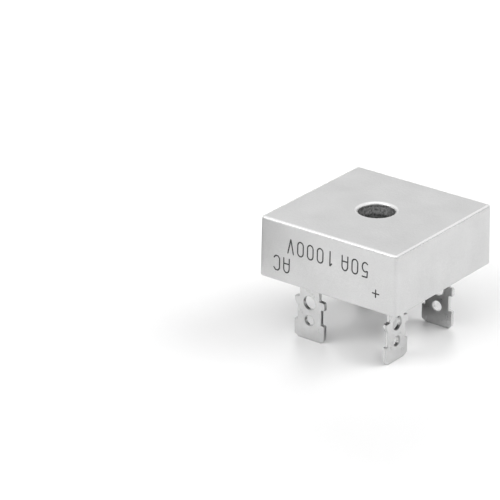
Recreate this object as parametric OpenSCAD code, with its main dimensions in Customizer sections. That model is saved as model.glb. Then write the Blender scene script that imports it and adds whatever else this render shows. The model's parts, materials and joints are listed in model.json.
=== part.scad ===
// Metal-cased single-phase bridge rectifier with four push-on tabs, in millimetres.
// It stands on the tips of its tabs: the origin is on that plane, on the axis of the screw hole.
// +Z points to the flat mounting face, and the marked side of the case faces -Y.
// Four silicon dice sit on copper plates over a ceramic insulator, and black epoxy fills the cup.

/* [Case] */
// Side length of the square case at its rim
case_side = 28.8; // [27.5:0.1:30]
// Height of the case from its rim to the mounting face
case_h = 11.1; // [10.6:0.1:12.4]
// Thickness of the four side walls at the rim
case_wall = 1.35; // [1:0.05:1.6]
// How far each wall leans in from the rim to the mounting face
wall_lean = 0.2; // [0:0.05:0.3]
// Thickness of the plate under the mounting face
floor_t = 2.2; // [1.8:0.1:2.6]
// Radius of the four upright outer corners at the rim
corner_r = 0.8; // [0.6:0.1:1.2]
// Radius of the edge round the mounting face
top_edge_r = 0.45; // [0.2:0.05:0.55]
// Radius of the outer edge of the rim
rim_edge_r = 0.2; // [0.1:0.05:0.4]
// Radius of the four upright corners inside the cup
inner_corner_r = 0.5; // [0.3:0.1:0.8]

/* [Screw hole and boss] */
// Diameter of the straight bore for the screw
bore_d = 5.3; // [5:0.1:5.6]
// Diameter of the bore at the mounting face, at the end of its taper
mouth_d = 6.4; // [6:0.1:6.8]
// Depth of the taper under the mounting face
mouth_depth = 2; // [1.2:0.1:2.6]
// Radius of the edge between the taper and the mounting face
mouth_edge_r = 0.5; // [0.2:0.05:0.6]
// Outer diameter of the boss round the bore
boss_d = 8; // [7.6:0.1:8.6]
// Depth of the end of the boss below the rim
boss_recess = 1; // [0.6:0.1:1.4]
// Radius of the outer edge of the boss
boss_edge_r = 0.25; // [0.15:0.05:0.35]
// Chamfer at the boss end of the bore
bore_chamfer = 0.2; // [0.1:0.05:0.3]

/* [Terminals] */
// Height from the tips of the tabs to the mounting face
overall_h = 23.2; // [22.9:0.1:25.4]
// Distance along the sheet between the middles of two tabs
near_pitch = 14; // [13.6:0.1:14.8]
// Width of the blade of each tab
tab_w = 6.35; // [6:0.05:6.4]
// Thickness of the tab's sheet
tab_t = 0.8; // [0.7:0.05:0.85]
// Height of the blade from the tip to the waist
blade_h = 3.45; // [3.2:0.05:3.8]
// Width of the waist over the blade
waist_w = 5; // [4.8:0.1:5.4]
// Height of the waist
waist_h = 2.9; // [2.6:0.1:3]
// Height of the two ears over the waist
ear_h = 1.55; // [1.4:0.05:1.8]
// Height of the sloping shoulder under one of the ears
shoulder_h = 1; // [0.8:0.1:1.3]
// Height of the sloping shoulder's middle over the square shoulder
shoulder_rise = 0.2; // [0:0.05:0.3]
// Width of the stem between the ears and the foot
stem_w = 4.2; // [4:0.1:4.4]
// Chamfer of the two corners at the tip
tip_chamfer = 0.7; // [0.5:0.05:0.9]
// How much the bevel at the tip takes off each face of the sheet
tip_bevel = 0.2; // [0.1:0.05:0.3]
// Height of the bevel at the tip
tip_bevel_h = 0.4; // [0.2:0.05:0.6]
// Corner cut of the ears
ear_chamfer = 0.25; // [0.15:0.05:0.35]
// Diameter of the latching hole in the waist
small_hole_d = 1.9; // [1.7:0.1:2.1]
// Height of the latching hole over the tip
small_hole_z = 3.75; // [3.4:0.05:4]
// Diameter of the wire hole between the ears
big_hole_d = 2.5; // [2.2:0.1:2.6]
// Height of the wire hole over the tip
big_hole_z = 7.1; // [6.7:0.05:7.3]
// Inner radius of the bend between the stem and the foot
bend_r = 0.4; // [0.3:0.05:0.6]
// Length of the flat foot past the bend
foot_flat = 1.8; // [1.5:0.1:2]
// Distance from the end of a foot to the edge of its plate
foot_setback = 0.35; // [0.1:0.05:0.5]

/* [Potting] */
// Depth of the flat potting surface below the rim
potting_recess = 2.1; // [1.7:0.1:2.4]
// Height that the potting climbs up the walls
wall_climb = 0.9; // [0.4:0.1:1.1]
// Height that the potting climbs up the boss
boss_climb = 0.8; // [0.4:0.1:1]
// Height that the potting climbs up each stem
stem_climb = 0.8; // [0.4:0.1:1]

/* [Insulator and plates] */
// Thickness of the adhesive between the case and the insulator
bond_t = 0.1; // [0.06:0.02:0.2]
// Thickness of the ceramic insulator
insulator_t = 0.64; // [0.38:0.02:1]
// Gap between the insulator and the walls, and between it and the boss
insulator_gap = 0.3; // [0.2:0.05:0.5]
// Thickness of the copper plates
plate_t = 0.8; // [0.5:0.1:1]
// Bare ceramic left round the plates
plate_margin = 0.5; // [0.4:0.1:0.8]
// Gap between neighbouring plates
plate_gap = 0.8; // [0.6:0.1:1]
// Place in Y of the gap between the two rows of plates
row_gap_y = 1.6; // [1:0.1:2]
// Place in X of the gap between the two lower plates
lower_gap_x = 0.3; // [0:0.1:0.6]
// Place in X of the gap between the two upper plates
upper_gap_x = -1.6; // [-1.9:0.1:-1.3]

/* [Dice and clips] */
// Side length of a silicon die
die_side = 4.4; // [3.8:0.1:4.6]
// Thickness of a silicon die
die_t = 0.3; // [0.2:0.05:0.4]
// Thickness of each solder layer
solder_t = 0.1; // [0.05:0.01:0.15]
// Distance from a die to the edge of its plate
die_margin = 0.5; // [0.3:0.1:0.7]
// Thickness of the jumper clips
clip_t = 0.5; // [0.4:0.05:0.6]
// Width of the jumper clips
clip_w = 3; // [2.4:0.1:3.4]
// Bare rim of the die round the clip's pad
pad_margin = 0.5; // [0.4:0.1:0.8]
// Height of the clip's hump over its pad
clip_rise = 0.5; // [0.3:0.1:0.8]
// How far the clip's hump reaches past the gap
hump_reach = 0.25; // [0.15:0.05:0.35]
// Distance from a plate's edge to the clip's foot on it
clip_setback = 0.7; // [0.6:0.1:0.9]
// Length of the clip's foot
clip_foot = 1.5; // [1.2:0.1:1.7]

/* [Hidden] */
$fn = 64;
// Points along each rounded edge
ARC_STEPS = 5;
// Points along each meniscus
CLIMB_STEPS = 4;
// How far a cutting shape reaches past what it cuts
OVER = 0.5;
// How far the mitred corners of a folded strip move, as a share of its thickness
FOLD_SHARE = 0.45;

rim_z = overall_h - case_h;
floor_z = overall_h - floor_t;
boss_end_z = rim_z + boss_recess;
potting_z = rim_z + potting_recess;
insulator_z = floor_z - bond_t;
plate_top_z = insulator_z - insulator_t;
plate_z = plate_top_z - plate_t;

cup_side = case_side - 2 * case_wall;
bore_r = bore_d / 2;
mouth_r = mouth_d / 2;
boss_r = boss_d / 2;
insulator_side = cup_side - 2 * insulator_gap;
insulator_hole_r = boss_r + insulator_gap;
plate_half = insulator_side / 2 - plate_margin;
plate_hole_r = insulator_hole_r + plate_margin;

ear_bottom_z = blade_h + waist_h;
ear_top_z = ear_bottom_z + ear_h;
foot_top_z = plate_z - solder_t;
foot_bottom_z = foot_top_z - tab_t;
bend_centre_y = tab_t / 2 + bend_r;
foot_reach = bend_centre_y + foot_flat;
// Distance from the bore's axis to the middle of each tab, along the sheet and across it
near_half = near_pitch / 2;
far_half = plate_half - foot_setback - foot_reach;

// Distance from the middle of a die to the edge of its plate, and to the edge of the next plate
die_inset = die_side / 2 + die_margin;
next_plate_s = die_inset + plate_gap;
// Distance from the bore's axis to each die, half way between the boss hole and the plate's edge
die_row = (plate_hole_r + plate_half) / 2;
clip_pad = die_side - 2 * pad_margin;
pad_h = die_t + 2 * solder_t;
hump_h = pad_h + clip_rise;
foot_start_s = next_plate_s + clip_setback;
foot_end_s = foot_start_s + clip_foot;

// The four dice by the terminals that they join, and the four terminals
DICE = ["plus_left", "plus_right", "minus_left", "minus_right"];
TERMINALS = ["plus", "minus", "ac_left", "ac_right"];

// Points of an arc round a centre, from one angle to another
function arc(cx, cy, r, from, to, steps) =
  [for (i = [0 : steps]) let (a = from + (to - from) * i / steps) [cx + r * cos(a), cy + r * sin(a)]];

// Outline of a block's edge strip: flat inside, leaning outside, rounded at both outer edges
function edge_outline(r, low_z, high_z, low_r, high_r, lean) =
  let (
    top_r = min(high_r, r - lean),
    tilt = atan(lean / (high_z - low_z - low_r - top_r))
  )
  concat(
    [[0, low_z]],
    arc(r - low_r, low_z + low_r, low_r, -90, tilt, ARC_STEPS),
    arc(r - lean - top_r, high_z - top_r, top_r, tilt, 90, ARC_STEPS),
    [[0, high_z]]
  );

// Hollow curve of a meniscus, from the wall it climbs down to the flat potting surface
function climb_curve(wall, climb) =
  arc(wall + climb, potting_z - climb, climb, 180, 90, CLIMB_STEPS);

// The same curve for a wall on the negative side
function mirrored(points) = [for (p = points) [-p[0], p[1]]];

// Points in the opposite order
function reversed(points) = [for (i = [len(points) - 1 : -1 : 0]) points[i]];

// Middle of a terminal's tab
function terminal_middle(name) =
  name == "plus" ? [far_half, -near_half, 0] :
  name == "minus" ? [-near_half, far_half, 0] :
  name == "ac_left" ? [-near_half, -far_half, 0] : [near_half, far_half, 0];

// The plus tab is turned by a quarter turn so that it can be told from the others
function terminal_turn(name) = name == "plus" ? 90 : 0;

// Side that a terminal's foot points to, always away from the bore
function foot_side(name) = (name == "plus" || name == "ac_left") ? -1 : 1;

// Middle of a die on its plate
function die_middle(name) =
  name == "plus_left" ? [lower_gap_x + plate_gap / 2 + die_inset, -die_row, plate_z] :
  name == "plus_right" ? [die_row, row_gap_y - plate_gap / 2 - die_inset, plate_z] :
  name == "minus_left" ? [-die_row, row_gap_y - plate_gap / 2 - die_inset, plate_z] :
  [upper_gap_x + plate_gap / 2 + die_inset, die_row, plate_z];

// Turn that points a die's clip over the gap to the next plate
function clip_turn(name) = (name == "plus_left" || name == "minus_right") ? 180 : 90;

// Moves a shape to a terminal's place and turns it
module at_terminal(name) {
  translate(terminal_middle(name)) {
    rotate([0, 0, terminal_turn(name)]) {
      children();
    }
  }
}

// Moves a shape to a die's place, with the clip's run along +X
module at_die(name) {
  translate(die_middle(name)) {
    rotate([0, 0, clip_turn(name)]) {
      children();
    }
  }
}

// Square block with leaning sides, round corners and rounded lower and upper edges
module rounded_block(side, r, low_z, high_z, low_r, high_r, lean) {
  half = side / 2 - r;
  translate([-half, -half, low_z]) {
    cube([2 * half, 2 * half, high_z - low_z]);
  }
  for (turn = [0, 90, 180, 270]) {
    rotate([0, 0, turn]) {
      translate([half, half, 0]) {
        rotate_extrude(angle = 90) {
          polygon(edge_outline(r, low_z, high_z, low_r, high_r, lean));
        }
        rotate([90, 0, 0]) {
          linear_extrude(2 * half) {
            polygon(edge_outline(r, low_z, high_z, low_r, high_r, lean));
          }
        }
      }
    }
  }
}

// Square block with upright round corners and sharp edges
module plain_block(side, r, low_z, high_z) {
  half = side / 2 - r;
  translate([-half, -side / 2, low_z]) {
    cube([2 * half, side, high_z - low_z]);
  }
  translate([-side / 2, -half, low_z]) {
    cube([side, 2 * half, high_z - low_z]);
  }
  for (x = [-half, half], y = [-half, half]) {
    translate([x, y, low_z]) {
      cylinder(r = r, h = high_z - low_z);
    }
  }
}

// Solid of the boss, with its rounded outer edge
module boss_solid() {
  rotate_extrude() {
    polygon(concat(
      [[0, boss_end_z]],
      arc(boss_r - boss_edge_r, boss_end_z + boss_edge_r, boss_edge_r, -90, 0, ARC_STEPS),
      [[boss_r, floor_z + OVER], [0, floor_z + OVER]]
    ));
  }
}

// Space of the screw hole: chamfer, straight bore, taper and rounded mouth
module bore_space() {
  rotate_extrude() {
    polygon(concat(
      [
        [0, boss_end_z - OVER],
        [bore_r + bore_chamfer + OVER, boss_end_z - OVER],
        [bore_r, boss_end_z + bore_chamfer],
        [bore_r, overall_h - mouth_depth]
      ],
      arc(mouth_r + mouth_edge_r, overall_h - mouth_edge_r, mouth_edge_r, 180, 90, ARC_STEPS),
      [[mouth_r + mouth_edge_r, overall_h + OVER], [0, overall_h + OVER]]
    ));
  }
}

// Forged aluminium cup with the boss in one piece
module case() {
  color("lightgray")
  difference() {
    union() {
      difference() {
        rounded_block(case_side, corner_r, rim_z, overall_h, rim_edge_r, top_edge_r, wall_lean);
        plain_block(cup_side, inner_corner_r, rim_z - OVER, floor_z);
      }
      boss_solid();
    }
    bore_space();
  }
}

// Ridge of potting that climbs both sides of a wall of the given thickness
module climb_ridge(thickness, climb, length) {
  right = climb_curve(thickness / 2, climb);
  outer = thickness / 2 + climb;
  rotate([90, 0, 90]) {
    linear_extrude(length, center = true) {
      polygon(concat(
        [[outer, potting_z + OVER]],
        reversed(right),
        mirrored(right),
        [[-outer, potting_z + OVER]]
      ));
    }
  }
}

// Potting that climbs the four sides and four corners of a stem
module stem_meniscus() {
  climb_ridge(tab_t, stem_climb, stem_w);
  rotate([0, 0, 90]) {
    climb_ridge(stem_w, stem_climb, tab_t);
  }
  for (x = [-stem_w / 2, stem_w / 2], y = [-tab_t / 2, tab_t / 2]) {
    translate([x, y, 0]) {
      rotate_extrude() {
        polygon(concat(
          climb_curve(0, stem_climb),
          [[stem_climb, potting_z + OVER], [0, potting_z + OVER]]
        ));
      }
    }
  }
}

// Potting that climbs the boss
module boss_meniscus() {
  rotate_extrude() {
    polygon(concat(
      [[boss_r - OVER, potting_z + OVER], [boss_r - OVER, potting_z - boss_climb]],
      climb_curve(boss_r, boss_climb),
      [[boss_r + boss_climb, potting_z + OVER]]
    ));
  }
}

// Potting that climbs the four walls, with its corners mitred
module wall_meniscus() {
  wall = -cup_side / 2;
  for (turn = [0, 90, 180, 270]) {
    rotate([0, 0, turn]) {
      rotate([90, 0, 0]) {
        linear_extrude(cup_side + 2 * OVER, center = true) {
          polygon(concat(
            [[wall - OVER, potting_z + OVER], [wall - OVER, potting_z - wall_climb]],
            climb_curve(wall, wall_climb),
            [[wall + wall_climb, potting_z + OVER]]
          ));
        }
      }
    }
  }
}

// Black epoxy that fills the cup round everything inside it
module potting() {
  color([0.06, 0.06, 0.07])
  difference() {
    union() {
      plain_block(cup_side, inner_corner_r, potting_z, floor_z);
      intersection() {
        wall_meniscus();
        plain_block(cup_side, inner_corner_r, rim_z, floor_z);
      }
      boss_meniscus();
      for (name = TERMINALS) {
        at_terminal(name) stem_meniscus();
      }
    }
    translate([0, 0, rim_z]) {
      cylinder(r = boss_r, h = case_h);
    }
    base_bond();
    insulator();
    plus_plate();
    minus_plate();
    ac_left_plate();
    ac_right_plate();
    die_solder();
    clip_solder();
    terminal_solder();
    for (name = DICE) {
      at_die(name) {
        die_shape();
        clip_shape();
      }
    }
    for (name = TERMINALS) {
      at_terminal(name) terminal_shape(foot_side(name));
    }
  }
}

// Square layer with a hole for the boss
module holed_layer(side, hole_r, low_z, thickness) {
  difference() {
    translate([-side / 2, -side / 2, low_z]) {
      cube([side, side, thickness]);
    }
    translate([0, 0, low_z - OVER]) {
      cylinder(r = hole_r, h = thickness + 2 * OVER);
    }
  }
}

// Thermally conductive adhesive under the insulator
module base_bond() {
  color("gainsboro")
  holed_layer(insulator_side, insulator_hole_r, insulator_z, bond_t);
}

// Alumina plate that keeps the circuit off the case
module insulator() {
  color("white")
  holed_layer(insulator_side, insulator_hole_r, plate_top_z, insulator_t);
}

// Copper plate between two corners, cut back round the boss
module plate_shape(x_low, x_high, y_low, y_high) {
  difference() {
    translate([x_low, y_low, plate_z]) {
      cube([x_high - x_low, y_high - y_low, plate_t]);
    }
    translate([0, 0, plate_z - OVER]) {
      cylinder(r = plate_hole_r, h = plate_t + 2 * OVER);
    }
  }
}

// Plate under the cathodes of the two plus dice
module plus_plate() {
  color("orange")
  plate_shape(lower_gap_x + plate_gap / 2, plate_half, -plate_half, row_gap_y - plate_gap / 2);
}

// Plate that collects the two minus clips
module minus_plate() {
  color("orange")
  plate_shape(-plate_half, upper_gap_x - plate_gap / 2, row_gap_y + plate_gap / 2, plate_half);
}

// Plate of the first alternating terminal
module ac_left_plate() {
  color("orange")
  plate_shape(-plate_half, lower_gap_x - plate_gap / 2, -plate_half, row_gap_y - plate_gap / 2);
}

// Plate of the second alternating terminal
module ac_right_plate() {
  color("orange")
  plate_shape(upper_gap_x + plate_gap / 2, plate_half, row_gap_y + plate_gap / 2, plate_half);
}

// Flat box that hangs from the plates, from one depth to another
module hanging_box(x_low, x_high, width, near_h, far_h) {
  translate([x_low, -width / 2, -far_h]) {
    cube([x_high - x_low, width, far_h - near_h]);
  }
}

// Silicon die on its lower solder layer
module die_shape() {
  hanging_box(-die_side / 2, die_side / 2, die_side, solder_t, solder_t + die_t);
}

// Folded copper strip from the top of a die, over the gap, to the next plate
module clip_shape() {
  fold = clip_t * FOLD_SHARE;
  hump_end_s = next_plate_s + hump_reach;
  rotate([90, 0, 0]) {
    linear_extrude(clip_w, center = true) {
      polygon([
        [-clip_pad / 2, -pad_h],
        [clip_pad / 2, -pad_h],
        [die_side / 2, -hump_h],
        [hump_end_s, -hump_h],
        [foot_start_s, -solder_t],
        [foot_end_s, -solder_t],
        [foot_end_s, -solder_t - clip_t],
        [foot_start_s + fold, -solder_t - clip_t],
        [hump_end_s + fold, -hump_h - clip_t],
        [die_side / 2 - fold, -hump_h - clip_t],
        [clip_pad / 2 - fold, -pad_h - clip_t],
        [-clip_pad / 2, -pad_h - clip_t]
      ]);
    }
  }
}

module die_plus_left() {
  color("dimgray")
  at_die("plus_left") die_shape();
}

module die_plus_right() {
  color("dimgray")
  at_die("plus_right") die_shape();
}

module die_minus_left() {
  color("dimgray")
  at_die("minus_left") die_shape();
}

module die_minus_right() {
  color("dimgray")
  at_die("minus_right") die_shape();
}

module clip_plus_left() {
  color("peru")
  at_die("plus_left") clip_shape();
}

module clip_plus_right() {
  color("peru")
  at_die("plus_right") clip_shape();
}

module clip_minus_left() {
  color("peru")
  at_die("minus_left") clip_shape();
}

module clip_minus_right() {
  color("peru")
  at_die("minus_right") clip_shape();
}

// Solder under and over each die
module die_solder() {
  color("slategray")
  for (name = DICE) {
    at_die(name) {
      hanging_box(-die_side / 2, die_side / 2, die_side, 0, solder_t);
      hanging_box(-clip_pad / 2, clip_pad / 2, clip_w, pad_h - solder_t, pad_h);
    }
  }
}

// Solder under the foot of each clip
module clip_solder() {
  color("slategray")
  for (name = DICE) {
    at_die(name) hanging_box(foot_start_s, foot_end_s, clip_w, 0, solder_t);
  }
}

// Solder under the foot of each terminal
module terminal_solder() {
  color("slategray")
  for (name = TERMINALS) {
    at_terminal(name) {
      translate([0, 0, plate_z]) {
        rotate([0, 0, 90 * foot_side(name)]) {
          hanging_box(bend_centre_y, foot_reach, stem_w, 0, solder_t);
        }
      }
    }
  }
}

// Outline of a tab seen from its marked face, with one square and one sloping shoulder
module tab_outline() {
  blade = tab_w / 2;
  waist = waist_w / 2;
  stem = stem_w / 2;
  slope_z = ear_bottom_z + shoulder_rise;
  half_slope = shoulder_h / 2;
  polygon([
    [-blade + tip_chamfer, 0],
    [blade - tip_chamfer, 0],
    [blade, tip_chamfer],
    [blade, blade_h],
    [waist, blade_h],
    [waist, ear_bottom_z],
    [blade, ear_bottom_z],
    [blade, ear_top_z - ear_chamfer],
    [blade - ear_chamfer, ear_top_z],
    [stem, ear_top_z],
    [stem, foot_top_z],
    [-stem, foot_top_z],
    [-stem, ear_top_z],
    [-blade + ear_chamfer, ear_top_z],
    [-blade, ear_top_z - ear_chamfer],
    [-blade, slope_z + half_slope],
    [-waist, slope_z - half_slope],
    [-waist, blade_h],
    [-blade, blade_h],
    [-blade, tip_chamfer]
  ]);
}

// Outline of a terminal seen from its side: bevelled tip, upright stem, bend and foot
module strip_outline(side) {
  half = tab_t / 2;
  bend_z = foot_bottom_z - bend_r;
  inner = arc(bend_centre_y, bend_z, bend_r, 180, 90, ARC_STEPS);
  outer = arc(bend_centre_y, bend_z, bend_r + tab_t, 90, 180, ARC_STEPS);
  points = concat(
    [[-half + tip_bevel, 0], [half - tip_bevel, 0], [half, tip_bevel_h]],
    inner,
    [[foot_reach, foot_bottom_z], [foot_reach, foot_top_z]],
    outer,
    [[-half, tip_bevel_h]]
  );
  polygon([for (p = points) [side * p[0], p[1]]]);
}

// Tinned terminal in one piece, with its tip at the origin and its foot on the given side
module terminal_shape(side) {
  difference() {
    intersection() {
      rotate([90, 0, 90]) {
        linear_extrude(tab_w + 2 * OVER, center = true) {
          strip_outline(side);
        }
      }
      rotate([90, 0, 0]) {
        linear_extrude(2 * (foot_reach + OVER), center = true) {
          tab_outline();
        }
      }
    }
    for (hole = [[small_hole_z, small_hole_d], [big_hole_z, big_hole_d]]) {
      translate([0, 0, hole[0]]) {
        rotate([90, 0, 0]) {
          cylinder(d = hole[1], h = tab_t + 2 * OVER, center = true);
        }
      }
    }
  }
}

module terminal_plus() {
  color("silver")
  at_terminal("plus") terminal_shape(foot_side("plus"));
}

module terminal_minus() {
  color("silver")
  at_terminal("minus") terminal_shape(foot_side("minus"));
}

module terminal_ac_left() {
  color("silver")
  at_terminal("ac_left") terminal_shape(foot_side("ac_left"));
}

module terminal_ac_right() {
  color("silver")
  at_terminal("ac_right") terminal_shape(foot_side("ac_right"));
}

case();
potting();
base_bond();
insulator();
plus_plate();
minus_plate();
ac_left_plate();
ac_right_plate();
die_plus_left();
die_plus_right();
die_minus_left();
die_minus_right();
clip_plus_left();
clip_plus_right();
clip_minus_left();
clip_minus_right();
die_solder();
clip_solder();
terminal_solder();
terminal_plus();
terminal_minus();
terminal_ac_left();
terminal_ac_right();
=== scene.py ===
# %% [markdown]
# A bridge rectifier in a square metal case
#
# This lesson dresses a small power part: an aluminium cup with a screw hole, black resin poured into it,
# and four flat tabs for push-on connectors. It stands on the tips of its tabs, with its mounting face up.
# The solids come from a CAD model that is loaded as a fixed frame. Nothing here moves them. The pieces
# that show are made again as smooth surfaces on the same places, because CAD solids come as flat facets
# and a polished edge or a pool of resin needs a true curve. The sealed inner pieces stay as they are.

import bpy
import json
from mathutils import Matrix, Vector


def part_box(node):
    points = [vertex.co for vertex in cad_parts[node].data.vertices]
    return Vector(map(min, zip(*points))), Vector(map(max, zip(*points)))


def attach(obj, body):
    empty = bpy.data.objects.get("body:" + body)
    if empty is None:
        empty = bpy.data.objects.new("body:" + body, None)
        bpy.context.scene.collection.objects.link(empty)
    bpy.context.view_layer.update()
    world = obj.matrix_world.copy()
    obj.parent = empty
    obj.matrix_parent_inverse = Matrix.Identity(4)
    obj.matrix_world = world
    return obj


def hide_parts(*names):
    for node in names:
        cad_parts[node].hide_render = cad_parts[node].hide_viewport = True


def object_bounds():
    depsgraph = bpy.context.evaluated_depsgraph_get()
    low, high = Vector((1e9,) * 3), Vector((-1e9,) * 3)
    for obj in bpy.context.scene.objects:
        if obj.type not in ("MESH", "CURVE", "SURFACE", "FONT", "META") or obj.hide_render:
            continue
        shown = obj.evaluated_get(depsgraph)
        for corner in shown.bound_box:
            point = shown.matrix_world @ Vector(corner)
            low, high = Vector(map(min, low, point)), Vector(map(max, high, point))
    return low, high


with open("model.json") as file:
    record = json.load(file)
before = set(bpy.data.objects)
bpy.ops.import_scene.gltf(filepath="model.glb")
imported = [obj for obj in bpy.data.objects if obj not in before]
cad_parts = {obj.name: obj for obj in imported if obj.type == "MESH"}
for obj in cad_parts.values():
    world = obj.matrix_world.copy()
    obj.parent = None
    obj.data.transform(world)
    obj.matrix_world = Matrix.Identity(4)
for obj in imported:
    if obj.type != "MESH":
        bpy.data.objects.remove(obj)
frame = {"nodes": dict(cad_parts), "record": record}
cad_low, cad_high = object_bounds()

# %% Tools for arrays and meshes
import json

import bpy
import numpy as np
from mathutils import Matrix, Vector
from mathutils.geometry import delaunay_2d_cdt

MM = 0.001
SQUARE = np.array([[-1.0, -1.0, 0.0], [1.0, -1.0, 0.0], [1.0, 1.0, 0.0], [-1.0, 1.0, 0.0]])
print("the part measures", [round((high - low) / MM, 2) for low, high in zip(cad_low, cad_high)], "mm")

# %% [markdown]
# The camera
#
# A photograph of a box fixes where the camera stood: the corners of the case give its turn, its height and
# its distance. A long lens far away keeps the sides nearly parallel, as product pictures do. The camera is
# described as an orbit, with two angles, a distance and a small slide, which reads better than a matrix.


# %% Place the camera
def orbit_camera(azimuth, elevation, roll, distance, slide_right, slide_up, aim, lens):
    """Makes a camera that orbits the aim point.

    The way back to the camera is (sin a cos e, -cos a cos e, sin e) for azimuth a and elevation e, and its
    right side is (cos a, sin a, 0). Roll turns right and up about the way back. The camera then stands at
    the aim, plus the distance along the way back, plus the two slides along right and up.
    """
    a, e, r = np.radians([azimuth, elevation, roll])
    back = np.array([np.sin(a) * np.cos(e), -np.cos(a) * np.cos(e), np.sin(e)])
    level = np.array([np.cos(a), np.sin(a), 0.0])
    upward = np.cross(back, level)
    right = np.cos(r) * level + np.sin(r) * upward
    up = np.cos(r) * upward - np.sin(r) * level
    place = np.array(aim) + slide_right * right + slide_up * up + distance * back
    turned = np.eye(4)
    turned[:3, :] = np.column_stack([right, up, back, place])
    camera = bpy.data.objects.new("camera", bpy.data.cameras.new("camera"))
    camera.data.lens = lens
    camera.data.clip_start = 0.01
    camera.data.clip_end = 20.0
    camera.matrix_world = Matrix(turned.tolist())
    bpy.context.scene.collection.objects.link(camera)
    bpy.context.scene.camera = camera
    return camera


top_z = cad_high.z
camera = orbit_camera(
    azimuth=37.498,
    elevation=23.933,
    roll=0.168,
    distance=529.128 * MM,
    slide_right=-21.757 * MM,
    slide_up=-6.878 * MM,
    aim=(0.0, 0.0, top_z),
    lens=221.84,
)
print("the camera stands at", [round(v / MM, 1) for v in camera.matrix_world.translation], "mm")

# %% [markdown]
# Helpers for materials
#
# Every finish here is worked out from a place on the piece: noise drives its tone, its roughness and its
# relief. In Blender that is a tree of small nodes, long to write and hard to read. The helpers below make
# the nodes, so that a finish reads like arithmetic.


# %% Write nodes as arithmetic
def start_material(name, metallic=0.0):
    """Starts a material and returns it with its node tree, its shader and the Object coordinates."""
    material = bpy.data.materials.new(name)
    material.use_nodes = True
    tree = material.node_tree
    shader = tree.nodes["Principled BSDF"]
    shader.inputs["Metallic"].default_value = metallic
    coordinates = tree.nodes.new("ShaderNodeTexCoord")
    return material, tree, shader, coordinates.outputs["Object"]


def feed(tree, sockets, values):
    """Gives each socket its value, which is a plain number or comes from another node."""
    for socket, value in zip(sockets, values):
        if isinstance(value, float):
            socket.default_value = value
        else:
            tree.links.new(value, socket)


def noise(tree, vector, size, detail=2.0, stretch=(1.0, 1.0, 1.0)):
    """Cloudy noise from 0 to 1, with lumps of about the size in millimetres, stretched along the axes."""
    place = tree.nodes.new("ShaderNodeMapping")
    place.inputs["Scale"].default_value = [1.0 / s for s in stretch]
    cloud = tree.nodes.new("ShaderNodeTexNoise")
    cloud.inputs["Scale"].default_value = 1.0 / (size * MM)
    cloud.inputs["Detail"].default_value = detail
    tree.links.new(vector, place.inputs["Vector"])
    tree.links.new(place.outputs["Vector"], cloud.inputs["Vector"])
    return cloud.outputs["Fac"]


def spread(tree, value, low, high, start=0.3, end=0.7):
    """Maps a value that runs from start to end onto the range from low to high, and clamps it there."""
    node = tree.nodes.new("ShaderNodeMapRange")
    feed(tree, node.inputs, (value, start, end, low, high))
    return node.outputs["Result"]


def combine(tree, operation, first, second):
    """One step of arithmetic between two values."""
    node = tree.nodes.new("ShaderNodeMath")
    node.operation = operation
    feed(tree, node.inputs, (first, second))
    return node.outputs["Value"]


def mixed(tree, share, first, second):
    """(1 - share) times the first value plus share times the second."""
    node = tree.nodes.new("ShaderNodeMix")
    feed(tree, [node.inputs[0], *node.inputs[2:4]], (share, first, second))
    return node.outputs[0]


def point_value(tree, name):
    """Reads the number that a piece's mesh stores under a name."""
    node = tree.nodes.new("ShaderNodeAttribute")
    node.attribute_name = name
    return node.outputs["Fac"]


def drive_shader(tree, shader, tone, rough, heights):
    """Links a shader's tone and roughness and dents its shading. Each height runs from 0 to 1 and comes
    with its depth in millimetres."""
    tree.links.new(tone, shader.inputs["Base Color"])
    tree.links.new(rough, shader.inputs["Roughness"])
    normal = None
    for height, depth in heights:
        node = tree.nodes.new("ShaderNodeBump")
        node.inputs["Distance"].default_value = depth * MM
        tree.links.new(height, node.inputs["Height"])
        if normal:
            tree.links.new(normal, node.inputs["Normal"])
        normal = node.outputs["Normal"]
    tree.links.new(normal, shader.inputs["Normal"])


print("material helpers are ready")

# %% [markdown]
# The floor and the light
#
# The part stands on a plain white sweep under soft light. Metal shows what is round it, so the light is
# part of the finish, and it is split in two. Far lights that only matt surfaces see brighten the floor and
# make the soft shadow. The metal and the resin see a sky and two soft boxes instead: the broad sky gives
# the even grey of the faces, and the box over the left shoulder draws the bright line along the top edge.
# The sky is darker at the horizon and on the side of the camera, as a studio is.
#
# Two cards that only mirroring surfaces see carry painted shade for the metal to mirror. One stands to
# the left, painted dark as the shaded side of a second part would be, and darkens that end of the marked
# side. One lies under the part, painted dark where the floor lies in the part's shadow, and gives the cut
# edges of the tabs their dark line. The floor lets light through from underneath, so the underside of the
# part can be looked at too.


# %% Build the studio
def studio_sky(horizon, zenith, camera_side):
    """Lights the scene from all round. The strength runs from the horizon's to the zenith's as the
    direction's height goes from 0 to 0.4, and is multiplied by a share that falls from 1 to the camera
    side's as its part towards the camera goes from 0.6 to 1."""
    world = bpy.data.worlds.new("studio_sky")
    bpy.context.scene.world = world
    world.use_nodes = True
    tree = world.node_tree
    background = tree.nodes["Background"]
    background.inputs["Color"].default_value = (1.0, 1.0, 1.0, 1.0)
    direction = tree.nodes.new("ShaderNodeTexCoord").outputs["Generated"]
    split = tree.nodes.new("ShaderNodeSeparateXYZ")
    towards = tree.nodes.new("ShaderNodeVectorMath")
    towards.operation = "DOT_PRODUCT"
    towards.inputs[1].default_value = Vector((camera.location.x, camera.location.y, 0.0)).normalized()
    tree.links.new(direction, split.inputs[0])
    tree.links.new(direction, towards.inputs[0])
    strength = spread(tree, split.outputs["Z"], horizon, zenith, 0.0, 0.4)
    share = spread(tree, towards.outputs["Value"], 1.0, camera_side, 0.6, 1.0)
    tree.links.new(combine(tree, "MULTIPLY", strength, share), background.inputs["Strength"])
    world.cycles_visibility.diffuse = False


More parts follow.
